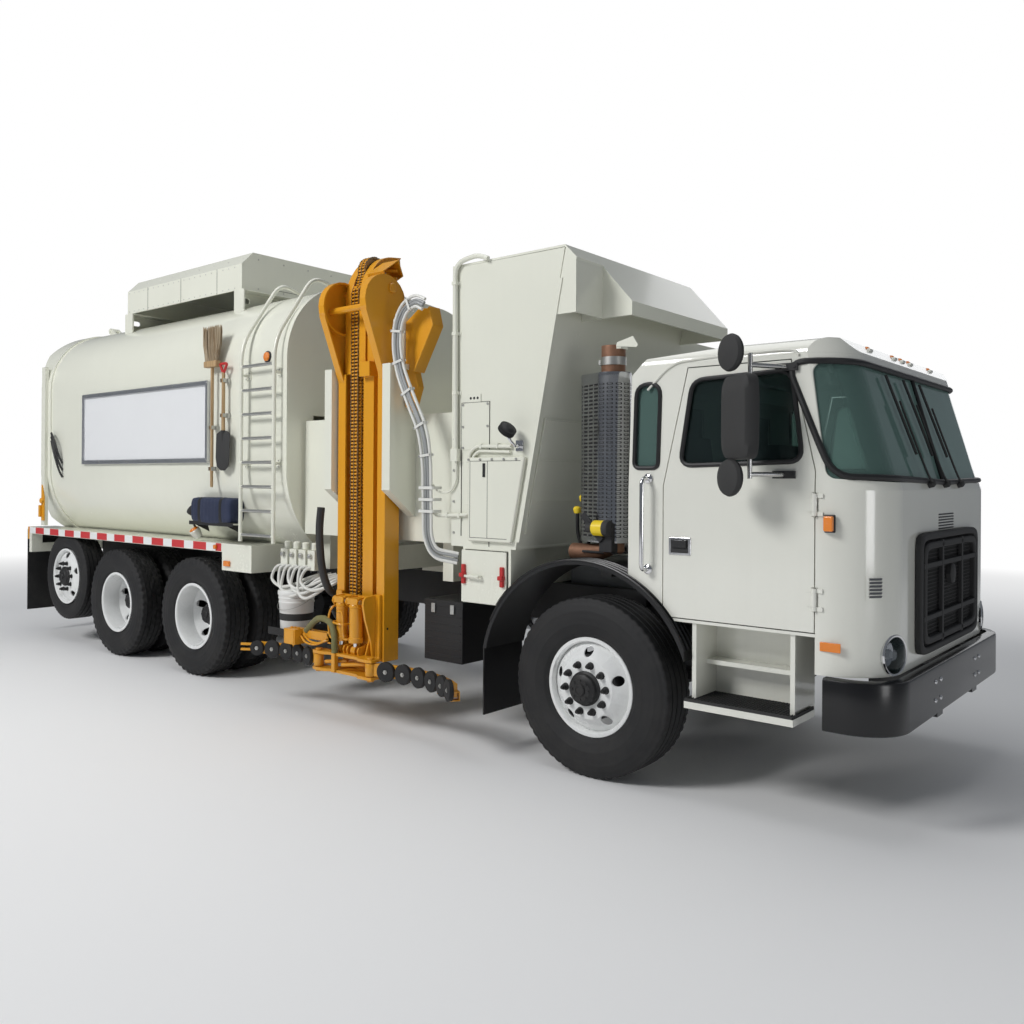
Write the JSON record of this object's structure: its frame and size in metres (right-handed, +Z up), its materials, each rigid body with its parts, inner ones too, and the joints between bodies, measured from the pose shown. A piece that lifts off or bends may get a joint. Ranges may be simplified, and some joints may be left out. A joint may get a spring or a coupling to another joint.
{
  "type": "automated side loader garbage truck",
  "caption": "Cab-over garbage truck with a round-sided drum body, a hooded hopper, a lifted rear axle and a side lift arm with bin gripper.",
  "frame": {"origin": "on the ground under the middle of the overall length and width, mirrors and lift arm included", "axes": "+X towards the front bumper, +Y to the driver's left, +Z up"},
  "size_m": [9.417, 3.068, 3.855],
  "materials": {
    "body_white": "gloss",
    "arm_yellow": "gloss",
    "gloss_black": "gloss",
    "frame_black": "satin",
    "wheel_white": "gloss",
    "tyre_black": "matte",
    "black_plastic": "matte",
    "black_rubber": "matte",
    "cab_glass": "clear",
    "stainless": "brushed",
    "bare_aluminium": "satin",
    "trim_grey": "matte",
    "engine_grey": "satin",
    "chain_steel": "oiled",
    "amber": "gloss",
    "pail_white": "satin",
    "bag_navy": "woven",
    "tool_wood": "matte"
  },
  "bodies": {
    "chassis": {"frame_rails": "frame_black", "engine": "engine_grey", "front_axle": "frame_black", "rear_axles": "frame_black", "bumper": "gloss_black", "grille": "gloss_black", "cab_shell": "body_white", "cab_front": "body_white", "cab_roof": "body_white", "cab_glass": "cab_glass", "cab_interior": "trim_grey", "front_fenders": "black_plastic", "step_wells": "body_white", "hopper_shell": "body_white", "hopper_hood": "body_white", "drum_shell": "body_white", "rear_deck": "body_white", "rear_flaps": "black_rubber", "sign_boards": "bare_aluminium", "roof_box": "body_white", "ladder": "body_white", "yard_tools": "tool_wood", "tool_bag": "bag_navy", "exhaust": "stainless", "tanks": "frame_black", "pail": "pail_white", "lamps": "amber", "arm_base": "frame_black"},
    "knuckle_left": {"knuckle_left": "frame_black"},
    "wheel_front_left": {"rim_front_left": "wheel_white", "tyre_front_left": "tyre_black"},
    "wheels_drive_a_left": {"rim_drive_a_left": "wheel_white", "tyre_drive_a_left": "tyre_black"},
    "wheels_drive_b_left": {"rim_drive_b_left": "wheel_white", "tyre_drive_b_left": "tyre_black"},
    "wheels_tag_left": {"rim_tag_left": "wheel_white", "tyre_tag_left": "tyre_black"},
    "door_left": {"door_left": "body_white", "door_glass_left": "cab_glass", "mirror_left": "black_plastic"},
    "knuckle_right": {"knuckle_right": "frame_black"},
    "wheel_front_right": {"rim_front_right": "wheel_white", "tyre_front_right": "tyre_black"},
    "wheels_drive_a_right": {"rim_drive_a_right": "wheel_white", "tyre_drive_a_right": "tyre_black"},
    "wheels_drive_b_right": {"rim_drive_b_right": "wheel_white", "tyre_drive_b_right": "tyre_black"},
    "wheels_tag_right": {"rim_tag_right": "wheel_white", "tyre_tag_right": "tyre_black"},
    "door_right": {"door_right": "body_white", "door_glass_right": "cab_glass", "mirror_right": "black_plastic"},
    "tailgate": {"tailgate": "body_white"},
    "packer": {"packer_blade": "body_white"},
    "hopper_door": {"hopper_door": "body_white"},
    "mast": {"mast": "arm_yellow", "lift_chain": "chain_steel"},
    "carriage": {"carriage": "arm_yellow"},
    "gripper_front": {"gripper_front": "arm_yellow"},
    "gripper_rear": {"gripper_rear": "arm_yellow"}
  },
  "joints": [
    {"name": "steer_left", "type": "hinge", "parent": "chassis", "child": "knuckle_left", "pos_m": [2.9635, 0.934, 0.538], "axis": [0, 0, 1], "range_deg": [-38, 38]},
    {"name": "roll_front_left", "type": "hinge", "parent": "knuckle_left", "child": "wheel_front_left", "pos_m": [2.9635, 1.109, 0.538], "axis": [0, 1, 0], "continuous": true},
    {"name": "roll_drive_a_left", "type": "hinge", "parent": "chassis", "child": "wheels_drive_a_left", "pos_m": [-1.3105, 1.114, 0.531], "axis": [0, 1, 0], "continuous": true},
    {"name": "roll_drive_b_left", "type": "hinge", "parent": "chassis", "child": "wheels_drive_b_left", "pos_m": [-2.6975, 1.114, 0.531], "axis": [0, 1, 0], "continuous": true},
    {"name": "roll_tag_left", "type": "hinge", "parent": "chassis", "child": "wheels_tag_left", "pos_m": [-3.8055, 1.106, 0.71], "axis": [0, 1, 0], "continuous": true},
    {"name": "door_hinge_left", "type": "hinge", "parent": "chassis", "child": "door_left", "pos_m": [4.3015, 1.211, 1.5], "axis": [0, 0, 1], "range_deg": [-75, 0]},
    {"name": "steer_right", "type": "hinge", "parent": "chassis", "child": "knuckle_right", "pos_m": [2.9635, -0.866, 0.538], "axis": [0, 0, 1], "range_deg": [-38, 38]},
    {"name": "roll_front_right", "type": "hinge", "parent": "knuckle_right", "child": "wheel_front_right", "pos_m": [2.9635, -1.041, 0.538], "axis": [0, 1, 0], "continuous": true},
    {"name": "roll_drive_a_right", "type": "hinge", "parent": "chassis", "child": "wheels_drive_a_right", "pos_m": [-1.3105, -1.046, 0.531], "axis": [0, 1, 0], "continuous": true},
    {"name": "roll_drive_b_right", "type": "hinge", "parent": "chassis", "child": "wheels_drive_b_right", "pos_m": [-2.6975, -1.046, 0.531], "axis": [0, 1, 0], "continuous": true},
    {"name": "roll_tag_right", "type": "hinge", "parent": "chassis", "child": "wheels_tag_right", "pos_m": [-3.8055, -1.038, 0.71], "axis": [0, 1, 0], "continuous": true},
    {"name": "door_hinge_right", "type": "hinge", "parent": "chassis", "child": "door_right", "pos_m": [4.3015, -1.143, 1.5], "axis": [0, 0, 1], "range_deg": [0, 75]},
    {"name": "tailgate_hinge", "type": "hinge", "parent": "chassis", "child": "tailgate", "pos_m": [-4.2015, 0.034, 3.49], "axis": [0, 1, 0], "range_deg": [0, 75]},
    {"name": "packer_stroke", "type": "slide", "parent": "chassis", "child": "packer", "axis": [-1, 0, 0], "range_m": [0, 1.65]},
    {"name": "hopper_door_hinge", "type": "hinge", "parent": "chassis", "child": "hopper_door", "pos_m": [1.9505, -1.186, 1.145], "axis": [0, 0, 1], "range_deg": [-100, 0]},
    {"name": "arm_reach", "type": "slide", "parent": "chassis", "child": "mast", "axis": [0, -1, 0], "range_m": [0, 1.3]},
    {"name": "carriage_lift", "type": "slide", "parent": "mast", "child": "carriage", "axis": [0, 0, 1], "range_m": [0, 1.5]},
    {"name": "grip_front", "type": "hinge", "parent": "carriage", "child": "gripper_front", "pos_m": [1.2685, -1.366, 0.44], "axis": [0, 0, -1], "range_deg": [0, 90]},
    {"name": "grip_rear", "type": "hinge", "parent": "carriage", "child": "gripper_rear", "pos_m": [0.7085, -1.366, 0.44], "axis": [0, 0, 1], "range_deg": [0, 90]}
  ],
  "couplings": [
    {"joint": "steer_right", "follows": "steer_left", "ratio": 1},
    {"joint": "grip_rear", "follows": "grip_front", "ratio": 1}
  ]
}
